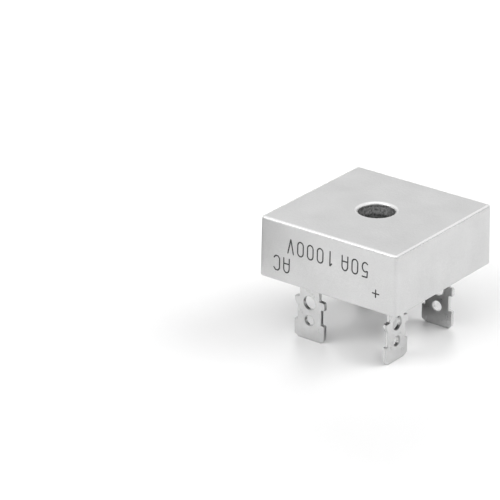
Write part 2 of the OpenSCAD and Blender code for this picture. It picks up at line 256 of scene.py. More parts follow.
def hang_light(light, place):
    """Hangs a light at a place, facing the middle of the part."""
    lamp = bpy.data.objects.new(light.name, light)
    bpy.context.scene.collection.objects.link(lamp)
    lamp.location = place
    way_out = Vector(place) - Vector((0.0, 0.0, top_z / 2))
    lamp.rotation_euler = way_out.to_track_quat("Z", "Y").to_euler()
    return lamp


def soft_box(name, place, size, power):
    """A square light that only glossy surfaces see, which draws highlights on the metal."""
    light = bpy.data.lights.new(name, "AREA")
    light.size = size
    light.energy = power
    hang_light(light, place).visible_diffuse = False


def far_light(name, turn, rise, width, strength):
    """A far light that only matt surfaces see, which lights the floor and makes the soft shadow. Its turn
    to the right of the camera, its rise and the width of its disc are in degrees."""
    light = bpy.data.lights.new(name, "SUN")
    light.angle = np.radians(width)
    light.energy = strength
    way = np.arctan2(camera.location.y, camera.location.x) + np.radians(turn)
    place = np.array([np.cos(way), np.sin(way), np.tan(np.radians(rise))]) + [0.0, 0.0, top_z / 2]
    hang_light(light, place).visible_glossy = False


def lay_sheet(name, corners, paper):
    """Lays one flat sheet of paper with four corners, which isn't part of the object."""
    mesh = bpy.data.meshes.new(name)
    mesh.from_pydata(corners.tolist(), [], [(0, 1, 2, 3)])
    mesh.materials.append(paper)
    sheet = bpy.data.objects.new(name, mesh)
    bpy.context.scene.collection.objects.link(sheet)
    return sheet


def floor_sweep(half):
    """Lays a white square floor, which only shows from above."""
    paper, tree, shader, _ = start_material("white_paper")
    shader.inputs["Base Color"].default_value = (0.9, 0.9, 0.9, 1.0)
    shader.inputs["Roughness"].default_value = 0.9
    shader.inputs["Specular IOR Level"].default_value = 0.1
    clear = tree.nodes.new("ShaderNodeBsdfTransparent")
    side = tree.nodes.new("ShaderNodeNewGeometry")
    either = tree.nodes.new("ShaderNodeMixShader")
    shaders = (shader.outputs["BSDF"], clear.outputs["BSDF"])
    feed(tree, either.inputs, (side.outputs["Backfacing"], *shaders))
    tree.links.new(either.outputs["Shader"], tree.nodes["Material Output"].inputs["Surface"])
    lay_sheet("floor", half * SQUARE, paper)


def mirror_card(name, corners, dark, pale, core, reach):
    """Sets up a card that only mirroring surfaces can see, carrying painted shade for them to mirror. Its
    tone is dark within the core's distance from the card's own middle, and grows to pale at the reach."""
    paper, tree, shader, place = start_material(name)
    shader.inputs["Roughness"].default_value = 0.9
    away = tree.nodes.new("ShaderNodeVectorMath")
    away.operation = "DISTANCE"
    away.inputs[1].default_value = np.mean(corners, axis=0)
    tree.links.new(place, away.inputs[0])
    tone = spread(tree, away.outputs["Value"], dark, pale, core, reach)
    tree.links.new(tone, shader.inputs["Base Color"])
    card = lay_sheet(name, corners, paper)
    for way in ("camera", "diffuse", "transmission", "shadow", "volume_scatter"):
        setattr(card, "visible_" + way, False)


bpy.context.scene.view_settings.view_transform = "Standard"
studio_sky(horizon=0.2, zenith=1.07, camera_side=0.35)
soft_box("soft_box_left", place=(-0.25, -0.35, 0.45), size=0.3, power=0.36)
soft_box("soft_box_above", place=(0.0, 0.0, 0.6), size=0.55, power=0.4)
far_light("light_front", turn=0.0, rise=50.0, width=60.0, strength=1.58)
far_light("light_right", turn=90.0, rise=30.0, width=60.0, strength=2.34)
far_light("light_back", turn=180.0, rise=25.0, width=25.0, strength=1.4)
far_light("light_left", turn=-60.0, rise=15.0, width=60.0, strength=2.5)
far_light("light_high_left", turn=-90.0, rise=50.0, width=60.0, strength=0.37)
floor_sweep(half=3.0)
# Painted shade for the metal to mirror: this card is dark in its middle, as the shaded side of a second
# part beside this one would be, and darkens that end of the marked side.
side_card = np.array([[-16, -30, 9], [-40, 1, 9], [-40, 1, 28], [-16, -30, 28]]) * MM
mirror_card("side_card", side_card, dark=0.3, pale=0.82, core=2 * MM, reach=14 * MM)
# Painted shadow for the metal to mirror: this card under the part is dark in its middle, as the floor in
# the part's shadow is, and gives the tabs' cut edges their dark line.
floor_card = 10 * MM * SQUARE + [0.0, 0.0, 0.05 * MM]
mirror_card("floor_card", floor_card, dark=0.08, pale=0.85, core=4.5 * MM, reach=10.5 * MM)
lamps = [piece for piece in bpy.data.objects if piece.type == "LIGHT"]
print("the studio has", len(lamps), "lights and a sky")

# %% [markdown]
# Helpers for surfaces
#
# The new pieces are made of grids: rows of points, each row joined to the next by four-cornered faces. The
# helpers below turn such a block of points into faces and a mesh. A grid may be closed both ways, as the
# skin of a ring is.


# %% Turn grids of points into meshes
def grid_faces(rows, columns, closed=True):
    """Corner numbers of each face of a grid, whose rows are rings. Face (i, j) joins points (i, j),
    (i, j+1), (i+1, j+1) and (i+1, j). A closed grid joins its last row to its first one too."""
    i = np.arange(rows if closed else rows - 1)[:, None]
    j = np.arange(columns)[None, :]
    this_row, next_row = i * columns, (i + 1) % rows * columns
    left, right = j, (j + 1) % columns
    corners = [this_row + left, this_row + right, next_row + right, next_row + left]
    return np.stack(np.broadcast_arrays(*corners), axis=-1).reshape(-1, 4)


def add_piece(name, points, face_groups, materials):
    """Makes one object at the origin from an array of points and groups of faces. Each group holds an
    array of faces, the number of its material and whether it is smooth."""
    mesh = bpy.data.meshes.new(name)
    groups, numbers, smooth = zip(*face_groups)
    faces = [corners for group in groups for corners in group.tolist()]
    mesh.from_pydata(points.reshape(-1, 3).tolist(), [], faces)
    counts = [len(group) for group in groups]
    mesh.polygons.foreach_set("material_index", np.repeat(numbers, counts))
    mesh.polygons.foreach_set("use_smooth", np.repeat(smooth, counts))
    for material in materials:
        mesh.materials.append(material)
    piece = bpy.data.objects.new(name, mesh)
    bpy.context.scene.collection.objects.link(piece)
    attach(piece, "root")
    return piece


def point_values(piece, name, values):
    """Stores one number for each point of a piece, which a material can read by its name."""
    attribute = piece.data.attributes.new(name, "FLOAT", "POINT")
    attribute.data.foreach_set("value", np.asarray(values, np.float32).ravel())


print("a closed grid of 3 by 4 points has", len(grid_faces(3, 4)), "faces")

# %% [markdown]
# The finish of the case
#
# The case is cold forged from aluminium and then tumbled, which leaves a fine even grain and no direction.
# It isn't a mirror: it blurs the studio into one soft grey. Bare metal is a metallic shader with a
# middling roughness. Two sizes of noise dent it, a grain of a sixth of a millimetre and softer dimples of
# half of one, and a third makes the tone drift a little. Tumbling rubs the edges brighter, so the mesh
# stores a value called polish there, and another called bore down the screw hole, where the punch left a
# rougher torn wall. The tone there is also made much darker, which is painted shade in the deep hole.


# %% Mix the forged aluminium
def forged_aluminium():
    """Satin metal: grain and dimples as relief, drifting tone, bright edges, a rough bore in painted
    shade.
    """
    material, tree, shader, place = start_material("forged_aluminium", metallic=1.0)
    polish = point_value(tree, "polish")
    bore = point_value(tree, "bore")
    drift = noise(tree, place, 6.0, 3.0)
    grain = noise(tree, place, 0.16)
    dimples = noise(tree, place, 0.5)
    tone = combine(tree, "ADD", spread(tree, drift, 0.625, 0.675), spread(tree, grain, -0.03, 0.03))
    tone = combine(tree, "ADD", tone, combine(tree, "MULTIPLY", polish, 0.14))
    # Painted shade: where the mesh's bore value is set, the tone is multiplied by as little as 0.2,
    # darkening the deep hole.
    flecks = noise(tree, place, 0.3)
    painted_bore_shade = spread(tree, flecks, 0.2, 0.55, 0.35, 0.65)
    tone = combine(tree, "MULTIPLY", tone, mixed(tree, bore, 1.0, painted_bore_shade))
    rough = spread(tree, dimples, 0.38, 0.46)
    rough = combine(tree, "SUBTRACT", rough, combine(tree, "MULTIPLY", polish, 0.18))
    rough = combine(tree, "ADD", rough, combine(tree, "MULTIPLY", bore, 0.12))
    drive_shader(tree, shader, tone, rough, [(dimples, 0.045), (grain, 0.016)])
    return material


aluminium = forged_aluminium()
print("the case finish has", len(aluminium.node_tree.nodes), "nodes")

# %% [markdown]
# The case
#
# The real case is one forging: a flat mounting face, four walls, and a boss in the middle with the screw
# hole through it. It could be a box with bevels, but then the round hole and the square outline would
# fight over the mesh. Instead, one closed profile is carried round the axis of the hole. Near the hole
# each ring of points is a circle, at the walls it is a square with round corners, and on the flat faces
# between them the rings blend from one into the other, which doesn't show because those faces are flat.


# %% Describe one ring of the case
def ring_plan(arc_steps, side_steps):
    """Shared layout of the rings, counter-clockwise from above, starting at the corner towards +X +Y.

    A point of a rounded square is pull times (half side - corner radius), plus outward times the corner
    radius. At a corner pull stays on that corner while outward turns through a quarter circle. Along a
    side pull slides to the next corner while outward stays square to the side. A circle takes evenly
    spaced angles instead, so that it is equally smooth all round.
    """
    corners = np.array([[1, 1], [-1, 1], [-1, -1], [1, -1]], float)
    pull, turn = [], []
    for k, corner in enumerate(corners):
        slide = np.arange(1, side_steps)[:, None] / side_steps
        pull.append(np.tile(corner, (arc_steps + 1, 1)))
        pull.append(corner + (corners[(k + 1) % 4] - corner) * slide)
        turn.append(90.0 * k + np.linspace(0.0, 90.0, arc_steps + 1))
        turn.append(np.full(side_steps - 1, 90.0 * (k + 1)))
    turn = np.radians(np.concatenate(turn))
    outward = np.column_stack([np.cos(turn), np.sin(turn)])
    count = 4 * (arc_steps + side_steps)
    angle = np.radians(45.0 + (np.arange(count) - arc_steps / 2) * 360.0 / count)
    round_way = np.column_stack([np.cos(angle), np.sin(angle)])
    return {"pull": np.concatenate(pull), "outward": outward, "round": round_way, "count": count}


def square_rings(plan, halves, corners, heights):
    """Rounded squares, one for each half side, corner radius and height."""
    halves, corners, heights = (np.asarray(v, float)[:, None, None] for v in (halves, corners, heights))
    flat = plan["pull"] * (halves - corners) + plan["outward"] * corners
    return np.concatenate([flat, np.broadcast_to(heights, flat.shape[:2] + (1,))], axis=2)


def round_rings(plan, radii, heights):
    """Circles, one for each radius and height."""
    radii, heights = (np.asarray(v, float)[:, None, None] for v in (radii, heights))
    flat = plan["round"] * radii
    return np.concatenate([flat, np.broadcast_to(heights, flat.shape[:2] + (1,))], axis=2)


def between(first, last, shares):
    """Rings between two rings: (1 - share) times the first plus share times the last."""
    shares = np.asarray(shares, float)[:, None, None]
    return first * (1.0 - shares) + last * shares


case_plan = ring_plan(arc_steps=8, side_steps=48)
print("a ring of the case has", case_plan["count"], "points")

# %% Measure the case
case_low, case_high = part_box("case")
half_side = case_high.x
rim_z = case_low.z
wall = 1.35 * MM
floor_z = top_z - 2.2 * MM
cup_half = half_side - wall
corner_r = 0.8 * MM
cup_corner_r = 0.5 * MM
top_edge_r = 0.45 * MM
rim_edge_r = 0.35 * MM
fine_edge_r = 0.06 * MM
wall_lean = 0.2 * MM
wall_top_z, wall_foot_z = top_z - top_edge_r, rim_z + rim_edge_r
boss_r = 4.0 * MM
boss_end_z = rim_z + 1.0 * MM
boss_edge_r = 0.25 * MM
bore_r = [m["dims"]["r_mm"] for m in frame["record"]["mounts"] if m["name"] == "mounting_hole"][0] * MM
bore_chamfer = 0.2 * MM
mouth_r = 3.2 * MM
mouth_depth = 2.0 * MM
mouth_edge_r = 0.5 * MM
print("half side", round(half_side / MM, 2), "mm, rim at", round(rim_z / MM, 2), "mm, bore", bore_r / MM)


# %% Carry the profile round the hole
def quarter(steps=8):
    """Sine and cosine along a quarter circle, which start at (0, 1) and end at (1, 0)."""
    angle = np.linspace(0.0, np.pi / 2, steps + 1)
    return np.sin(angle), np.cos(angle)


def case_stations(plan):
    """The rings of the case in order, each group with its polish and bore values.

    The profile runs out over the mounting face, down the outer wall, which leans out a little, over the
    rim, up inside the cup, in over the cup's floor, down the boss and up through the bore. Each edge is a
    quarter circle: one way it grows with the sine, the other way with one minus the cosine. Round the
    mounting face the polish fades towards the wall as the square root of the cosine.
    """
    sine, cosine = quarter()
    out, over = cosine - 1.0, 1.0 - sine
    gap = 0.05 * MM
    mouth_end = top_z - mouth_edge_r - gap
    half_top = half_side - wall_lean

    def square(halves, inset, heights):
        """Rounded squares whose corner radius shrinks with the side, from the outer or the inner one."""
        return square_rings(plan, halves, inset + np.asarray(halves), heights)

    outer, inner = corner_r - half_side, cup_corner_r - cup_half
    top = square([half_top - top_edge_r], outer, [top_z])
    mouth = round_rings(plan, [mouth_r + mouth_edge_r], [top_z])
    rim_out = square([half_side - rim_edge_r], outer, [rim_z])
    rim_in = square([cup_half + fine_edge_r], inner, [rim_z])
    cup = square([cup_half], inner, [floor_z])
    boss = round_rings(plan, [boss_r], [floor_z])
    fall = np.array([0.01, 0.25, 0.5, 0.75, 0.99])
    wall_z = wall_top_z - (wall_top_z - wall_foot_z) * fall
    cup_z = [rim_z + 2 * gap, rim_z + 2.0 * MM, floor_z]
    boss_z = [floor_z, rim_z + 2.0 * MM, boss_end_z + boss_edge_r + gap]
    bore_z = [boss_end_z + bore_chamfer + gap, boss_end_z + 4.0 * MM, top_z - mouth_depth]
    face_r = [boss_r - boss_edge_r - gap, bore_r + bore_chamfer + gap]
    flare_r = np.linspace(bore_r, mouth_r, 5)[1:]
    flare_z = np.linspace(top_z - mouth_depth, mouth_end, 5)[1:]
    groups = [
        (between(mouth, top, [0.01, 0.05, 0.2, 0.4, 0.6, 0.8, 0.95, 0.99]), 0.0, 0.0),
        (square(half_top - top_edge_r * over, outer, top_z + top_edge_r * out), np.sqrt(cosine), 0.0),
        (square(half_top + wall_lean * fall, outer, wall_z), 0.0, 0.0),
        (square(half_side + rim_edge_r * out, outer, rim_z + rim_edge_r * over), 0.0, 0.0),
        (between(rim_out, rim_in, [0.05, 0.5, 0.95]), 0.3, 0.0),
        (square(cup_half + fine_edge_r * over, inner, rim_z - fine_edge_r * out), 0.6, 0.0),
        (square([cup_half] * 3, inner, cup_z), 0.0, 0.3),
        (between(cup, boss, [0.02, 0.98]), 0.0, 0.3),
        (round_rings(plan, [boss_r] * 3, boss_z), 0.0, 0.3),
        (round_rings(plan, boss_r + boss_edge_r * out, boss_end_z + boss_edge_r * over), 0.8, 0.0),
        (round_rings(plan, face_r, [boss_end_z] * 2), 0.2, 0.0),
        (round_rings(plan, bore_r + bore_chamfer * over, boss_end_z - bore_chamfer * out), 0.7, 0.0),
        (round_rings(plan, [bore_r] * 3, bore_z), 0.0, 1.0),
        (round_rings(plan, flare_r, flare_z), 0.0, 1.0),
        (round_rings(plan, mouth_r - mouth_edge_r * out, top_z - mouth_edge_r * over), 1.0, 0.0),
    ]
    rings, polish, bore = zip(*groups)
    counts = [len(group) for group in rings]
    polish = np.concatenate([np.full(count, value) for count, value in zip(counts, polish)])
    return np.concatenate(rings), polish, np.repeat(bore, counts)


rings, polish, bore = case_stations(case_plan)
case_faces = grid_faces(len(rings), case_plan["count"])
case = add_piece("case_shell", rings, [(case_faces[:, ::-1], 0, True)], [aluminium])
for name, values in (("polish", polish), ("bore", bore)):
    point_values(case, name, np.repeat(values, case_plan["count"]))
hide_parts("case")
print("the case has", len(rings), "rings and", 2 * len(case_faces), "triangles")

# %% [markdown]
# The resin
#
# Black epoxy was poured into the upturned cup. It wets aluminium and tin, so it creeps up the walls, the
# boss and the four stems and leaves a hollow curve at each, and where two walls meet it creeps higher
# still. A modeller could cut those curves with fillets, but a liquid surface is a height field, so the
# height is worked out for every point: each wall adds its own creep, and the creeps are added as powers,
# which keeps the joins round. The same ring layout as the case's gives the grid, so the resin meets the
# boss and the walls exactly.


# %% Work out the resin's surface
def creep(distance, height):
    """How far a liquid climbs at a distance from a wall it wets: a quarter circle that is hollow, as high
    as the height at the wall and level one height away. With s = 1 - distance / height, cut off at 0, it
    is height times (1 - sqrt(1 - s squared))."""
    s = np.clip(1.0 - distance / height, 0.0, 1.0)
    return height * (1.0 - np.sqrt(1.0 - s**2))


def distance_to_block(x, y, middle, half_width, half_depth):
    """Distance from a point to an upright block, and 0 inside it: the length of what is left of (x, y)
    once the block's half sizes are taken off both sides."""
    across = np.clip(np.abs(x - middle[0]) - half_width, 0.0, None)
    along = np.clip(np.abs(y - middle[1]) - half_depth, 0.0, None)
    return np.hypot(across, along)


def resin_climb(x, y, stems):
    """Height of the resin over its level, from the sum of the cubes of all creeps, plus a faint swell that
    the pour left behind."""
    climbs = [
        creep(cup_half - np.abs(x), wall_climb),
        creep(cup_half - np.abs(y), wall_climb),
        creep(np.hypot(x, y) - boss_r, stem_climb),
    ]
    for middle, half_width, half_depth in stems:
        climbs.append(creep(distance_to_block(x, y, middle, half_width, half_depth), stem_climb))
    swell = swell_height * np.sin(x / swell_x + 1.0) * np.sin(y / swell_y + 2.0)
    return np.cbrt(sum(c**3 for c in climbs)) + swell


resin_z = rim_z + 2.1 * MM
wall_climb = 0.9 * MM
stem_climb = 0.8 * MM
swell_height, swell_x, swell_y = 0.02 * MM, 3.1 * MM, 3.7 * MM
sheet_t = 0.8 * MM
stem_w = 4.2 * MM
resin_plan = ring_plan(arc_steps=8, side_steps=120)
print("the resin lies", round((resin_z - rim_z) / MM, 2), "mm below the rim")


# %% Find the four terminals
def read_terminal(node, turn, side):
    """Where a terminal's upright sheet stands. Its foot points to the given side of its own Y axis, and
    its box reaches from the sheet to the end of the foot, so the sheet's middle lies half a sheet in."""
    angle = np.radians(turn)
    foot = side * np.array([-np.sin(angle), np.cos(angle)])
    low, high = (np.array(corner)[:2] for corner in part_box(node))
    reach = abs((high - low) @ foot)
    middle = (low + high) / 2 - foot * (reach - sheet_t) / 2
    return {"node": node, "turn": angle, "side": side, "middle": middle, "reach": reach - sheet_t / 2}


terminals = [
    read_terminal("terminal_plus", 90.0, -1),
    read_terminal("terminal_minus", 0.0, 1),
    read_terminal("terminal_ac_left", 0.0, -1),
    read_terminal("terminal_ac_right", 0.0, 1),
]
for terminal in terminals:
    print(terminal["node"], "stands at", np.round(terminal["middle"] / MM, 2), "mm")

# %% [markdown]
# The finish of the resin
#
# Cast epoxy sets with the gloss it had as a liquid. Its black is almost all reflection: a very dark base,
# a smooth surface and the refraction of plastic. A faint slow swell in the shading keeps the reflections
# from looking ruled, and a few specks of dust that settled before it set are a little rougher.


# %% Mix the black resin
def black_resin():
    """Glossy cast epoxy: nearly black, smooth, with a slow swell and settled dust."""
    material, tree, shader, place = start_material("black_resin")
    swell = noise(tree, place, 3.0, 1.0)
    dust = noise(tree, place, 0.12, 1.0)
    speck = spread(tree, dust, 0.0, 1.0, 0.74, 0.8)
    tone = spread(tree, speck, 0.006, 0.05, 0.0, 1.0)
    rough = combine(tree, "ADD", spread(tree, swell, 0.05, 0.09), combine(tree, "MULTIPLY", speck, 0.3))
    drive_shader(tree, shader, tone, rough, [(swell, 0.03), (speck, 0.01)])
    return material


resin_black = black_resin()
print("the resin finish has", len(resin_black.node_tree.nodes), "nodes")


# %% Pour the resin
def resin_grid(plan, rows, stems):
    """The open surface between the boss and the walls, and the ring it ends on at the cup's floor.

    Row shares follow (1 - cos(pi t)) / 2, which packs rows close together at both walls, where the surface
    is steep. Each point's height is the resin's level less its climb, because the cup opens downwards.
    """
    share = (1.0 - np.cos(np.pi * np.linspace(0.0, 1.0, rows))) / 2
    boss = round_rings(plan, [boss_r], [resin_z])
    walls = square_rings(plan, [cup_half], [cup_corner_r], [resin_z])
    surface = between(boss, walls, share)
    surface[:, :, 2] = resin_z - resin_climb(surface[:, :, 0], surface[:, :, 1], stems)
    walls[:, :, 2] = floor_z
    boss[:, :, 2] = floor_z
    return np.concatenate([surface, walls, boss])


stems = []
for terminal in terminals:
    half_sizes = (stem_w / 2, sheet_t / 2) if terminal["turn"] == 0 else (sheet_t / 2, stem_w / 2)
    stems.append((terminal["middle"], *half_sizes))
resin_rings = resin_grid(resin_plan, rows=72, stems=stems)
resin_faces = grid_faces(len(resin_rings), resin_plan["count"])
resin = add_piece("resin", resin_rings, [(resin_faces, 0, True)], [resin_black])
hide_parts("potting")
print("the resin has", 2 * len(resin_faces), "triangles")

# %% [markdown]
# The finish of the tabs
#
# The tabs are stamped from copper strip that was tinned first. Tin is a soft semi-bright white metal, with
# fine lines along the strip from rolling and a few dull smears from handling. The stamped edges carry no
# tin. The punch burnishes the first part of the cut and tears the rest, so they have a finish of their
# own, with a bright smooth half and a duller, rougher one. The mesh stores how deep each edge point lies
# in the sheet, from 0 at the front face to 1 at the back, and the edge finish reads it.


# %% Mix the tin and the cut edge
def tinned_face():
    """Semi-bright tin: rolling lines along Z, a slow drift in tone and dull smears."""
    material, tree, shader, place = start_material("tinned_face", metallic=1.0)
    lines = noise(tree, place, 0.12, 2.0, (1.0, 1.0, 12.0))
    smears = noise(tree, place, 1.6, 3.0)
    tone = combine(tree, "ADD", spread(tree, smears, 0.605, 0.665), spread(tree, lines, -0.015, 0.015))
    rough = combine(tree, "ADD", spread(tree, smears, 0.26, 0.36), spread(tree, lines, -0.02, 0.02))
    drive_shader(tree, shader, tone, rough, [(smears, 0.01), (lines, 0.003)])
    return material


def cut_edge():
    """Stamped edge: torn and matt in the front part of the sheet, burnished towards the back."""
    material, tree, shader, place = start_material("cut_edge", metallic=1.0)
    torn = spread(tree, point_value(tree, "depth"), 1.0, 0.0, 0.4, 0.6)
    grain = noise(tree, place, 0.08)
    tone = combine(tree, "SUBTRACT", spread(tree, grain, 0.7, 0.78), combine(tree, "MULTIPLY", torn, 0.12))
    rough = spread(tree, torn, 0.25, 0.4, 0.0, 1.0)
    drive_shader(tree, shader, tone, rough, [(grain, 0.006)])
    return material


tin = tinned_face()
edge = cut_edge()
print("the tabs have two finishes:", tin.name, "and", edge.name)

# %% [markdown]
# The tabs
#
# Each terminal is one flat blank, stamped with two holes and bent once. It is modelled as it is made:
# first the outline of the blank, then its thickness, then the bend. The flat faces are filled with
# triangles between the outline and the holes. The edge is a profile carried along each outline, with both
# its corners a little round. At the tip the profile opens into the bevel that leads the tab into its
# connector. The bend is a function that maps the flat sheet into space.


# %% Draw the blank
def rounded_loop(corners, reach, steps=4):
    """Replaces each corner by a short parabola. With t from 0 to 1 it is (1-t)^2 before + 2t(1-t) corner +
    t^2 after. Before and after lie the given reach from the corner, or 0.45 of the shorter side where that
    is less."""
    ways = [np.roll(corners, shift, axis=0) - corners for shift in (1, -1)]
    lengths = [np.linalg.norm(way, axis=1)[:, None] for way in ways]
    cut = np.minimum(np.asarray(reach)[:, None], 0.45 * np.minimum(*lengths))
    before, after = (corners + way / length * cut for way, length in zip(ways, lengths))
    t = np.linspace(0.0, 1.0, steps + 1)[None, :, None]
    curve = (1 - t) ** 2 * before[:, None] + 2 * t * (1 - t) * corners[:, None] + t**2 * after[:, None]
    return curve.reshape(-1, 2)


def divided_loop(loop, longest):
    """Adds evenly spaced points to each side, so that none is longer than the longest allowed there."""
    sides = np.roll(loop, -1, axis=0) - loop
    counts = np.ceil(np.linalg.norm(sides, axis=1) / longest(loop + sides / 2)).astype(int)
    start = np.repeat(np.arange(len(loop)), counts)
    share = np.concatenate([np.arange(count) / count for count in counts])
    return loop[start] + sides[start] * share[:, None]


def hole_loop(middle, diameter, count=48):
    """A round hole, clockwise, so that the metal lies to its left as it does along the outline."""
    angle = -2.0 * np.pi * np.arange(count) / count
    return np.array([0.0, middle]) + diameter / 2 * np.column_stack([np.cos(angle), np.sin(angle)])


blade, waist, stem = 6.35 * MM / 2, 5.0 * MM / 2, stem_w / 2
waist_z, ear_z, ear_top_z = 3.45 * MM, 6.35 * MM, 7.9 * MM
slope_z, slope = ear_z + 0.2 * MM, 1.0 * MM / 2
tip_cut, ear_cut = 0.7 * MM, 0.25 * MM
edge_r = 0.12 * MM
bevel_depth, bevel_height, bevel_end = 0.2 * MM, 0.4 * MM, 0.3 * MM
bend_r = 0.4 * MM + sheet_t / 2
foot_top_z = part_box("terminal_minus")[1].z
bend_z = foot_top_z - sheet_t / 2 - bend_r
foot_length = terminals[0]["reach"] - bend_r
blank_end = bend_z + bend_r * np.pi / 2 + foot_length
bend_step, flat_step = 0.1 * MM, 0.5 * MM
corner_reach, tip_reach = 0.2 * MM, 0.25 * MM
blank_corners = np.array([
    [-blade + tip_cut, 0.0], [blade - tip_cut, 0.0], [blade, tip_cut],
    [blade, waist_z], [waist, waist_z], [waist, ear_z], [blade, ear_z],
    [blade, ear_top_z - ear_cut], [blade - ear_cut, ear_top_z], [stem, ear_top_z],
    [stem, bend_z - bend_step], [stem, blank_end], [-stem, blank_end], [-stem, bend_z - bend_step],
    [-stem, ear_top_z], [-blade + ear_cut, ear_top_z], [-blade, ear_top_z - ear_cut],
    [-blade, slope_z + slope], [-waist, slope_z - slope], [-waist, waist_z], [-blade, waist_z],
    [-blade, tip_cut],
])
reach = np.full(len(blank_corners), corner_reach)
reach[[0, 1, 2, -1]] = tip_reach
outline = divided_loop(
    rounded_loop(blank_corners, reach),
    lambda middle: np.where(middle[:, 1] > bend_z - bend_step, bend_step, flat_step),
)
latch_hole = hole_loop(middle=3.75 * MM, diameter=1.9 * MM)
wire_hole = hole_loop(middle=7.1 * MM, diameter=2.5 * MM)
blank_loops = [outline, latch_hole, wire_hole]
print("the blank is", round(blank_end / MM, 2), "mm long, with", len(outline), "points round it")


# %% Give the blank its faces and edges
def moved_in(loop, amount):
    """Moves each point of a loop into the metal, square to the line through its two neighbours."""
    along = np.roll(loop, -1, axis=0) - np.roll(loop, 1, axis=0)
    along = along / np.linalg.norm(along, axis=1)[:, None]
    return loop + np.column_stack([-along[:, 1], along[:, 0]]) * amount[:, None]


def edge_rows(loop):
    """The edge of the sheet along one loop: rows of points (across, along, depth) from the front face to
    the back. Both corners are quarter circles. Towards the tip they turn into a flat bevel: with s the
    distance from the tip over the bevel's end, its share is 2 - 2s, cut off at 0 and 1."""
    tip = np.clip(2.0 - 2.0 * loop[:, 1] / bevel_end, 0.0, 1.0)
    width = edge_r + (bevel_height - edge_r) * tip
    depth = edge_r + (bevel_depth - edge_r) * tip
    rows = []
    for face in (-1.0, 1.0):
        for t in np.linspace(0.0, 1.0, 5)[:: -int(face)]:
            inward = (1.0 - np.sin(t * np.pi / 2)) * (1 - tip) + (1.0 - t) * tip
            deeper = (1.0 - np.cos(t * np.pi / 2)) * (1 - tip) + t * tip
            flat = moved_in(loop, width * inward)
            rows.append(np.column_stack([flat, face * (sheet_t / 2 - depth * deeper)]))
    return np.array(rows)


def inside(points, loop):
    """True for each point that lies in a loop: a line from it to the right crosses the loop an odd number
    of times."""
    start, end = loop, np.roll(loop, -1, axis=0)
    x, y = points[:, 0, None], points[:, 1, None]
    spans = (start[:, 1] > y) != (end[:, 1] > y)
    rise = np.where(end[:, 1] == start[:, 1], 1.0, end[:, 1] - start[:, 1])
    crossing = start[:, 0] + (y - start[:, 1]) / rise * (end[:, 0] - start[:, 0])
    return (spans & (x < crossing)).sum(axis=1) % 2 == 1


def filled(loops, loose):
    """Triangles between an outline and its holes, counter-clockwise, as numbers of the stacked points. The
    fill covers the holes too, so those whose middle lies in one are dropped."""
    points = np.concatenate([*loops, loose])
    starts = np.cumsum([0] + [len(loop) for loop in loops])
    sides = np.concatenate([
        start + np.column_stack([np.arange(n), (np.arange(n) + 1) % n])
        for start, n in zip(starts, map(len, loops))
    ])
    flat = [Vector(point) for point in (points / MM).tolist()]
    all_triangles, closeness = 0, 1e-5
    filling = delaunay_2d_cdt(flat, sides.tolist(), [], all_triangles, closeness)
    triangles, origins = filling[2:4]
    triangles = np.array([origin[0] for origin in origins])[np.array(triangles)]
    middles = points[triangles].mean(axis=1)
    kept = inside(middles, loops[0])
    for hole in loops[1:]:
        kept = kept & ~inside(middles, hole)
    return triangles[kept]


def blank_solid(loops):
    """The flat blank as points (across, along, depth), with its triangles and edge faces."""
    bands = [edge_rows(loop) for loop in loops]
    rows = bands[0].shape[0]
    across = np.linspace(-stem, stem, 9)[1:-1]
    along = np.arange(bend_z, blank_end - bend_step, bend_step)
    loose = np.stack(np.meshgrid(across, along), axis=-1).reshape(-1, 2)
    points = [band.reshape(-1, 3) for band in bands]
    starts = np.cumsum([0] + [len(p) for p in points])
    counts = [len(loop) for loop in loops]
    edge_faces = np.concatenate([
        start + grid_faces(rows, count, closed=False) for start, count in zip(starts, counts)
    ])
    flats = []
    for row, depth in ((0, -sheet_t / 2), (rows - 1, sheet_t / 2)):
        triangles = filled([band[row, :, :2] for band in bands], loose)
        numbers = np.concatenate([
            *[start + row * count + np.arange(count) for start, count in zip(starts, counts)],
            sum(map(len, points)) + np.arange(len(loose)),
        ])
        points.append(np.column_stack([loose, np.full(len(loose), depth)]))
        flats.append(numbers[triangles])
    return np.concatenate(points), np.concatenate([flats[0], flats[1][:, ::-1]]), edge_faces[:, ::-1]


blank_points, flat_faces, edge_faces = blank_solid(blank_loops)
print("the blank has", len(flat_faces), "triangles on its faces and", 2 * len(edge_faces), "on its edges")


# %% Bend and place the tabs
def bent(points, side):
    """Maps the flat blank (x, s, d) into space. Up to the bend it stands upright, with y = d and z = s.
    Then it follows a circle of radius R. With a = (s - start) / R, cut off at a quarter turn, it has
    y = R - (R - d) cos a and z = start + (R - d) sin a, and what is left of s runs on along Y. Side -1
    bends it to the other side."""
    x, s, d = points.T
    a = np.clip((s - bend_z) / bend_r, 0.0, np.pi / 2)
    rest = np.clip(s - bend_z - bend_r * np.pi / 2, 0.0, None)
    y = bend_r - (bend_r - d) * np.cos(a) + rest
    z = np.minimum(s, bend_z) + (bend_r - d) * np.sin(a)
    return np.column_stack([x, side * y, z])


def place_tab(terminal):
    """Bends the blank, turns it about Z, moves it to its place and stores the depth of each point."""
    points = blank_points * [1.0, 1.0, terminal["side"]]
    points = bent(points, terminal["side"])
    c, s = np.cos(terminal["turn"]), np.sin(terminal["turn"])
    points = points @ np.array([[c, s, 0.0], [-s, c, 0.0], [0.0, 0.0, 1.0]])
    points[:, :2] += terminal["middle"]
    name = terminal["node"].replace("terminal", "tab")
    groups = [(flat_faces, 0, False), (edge_faces, 1, True)]
    tab = add_piece(name, points, groups, [tin, edge])
    point_values(tab, "depth", blank_points[:, 2] / sheet_t + 0.5)
    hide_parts(terminal["node"])
    return tab


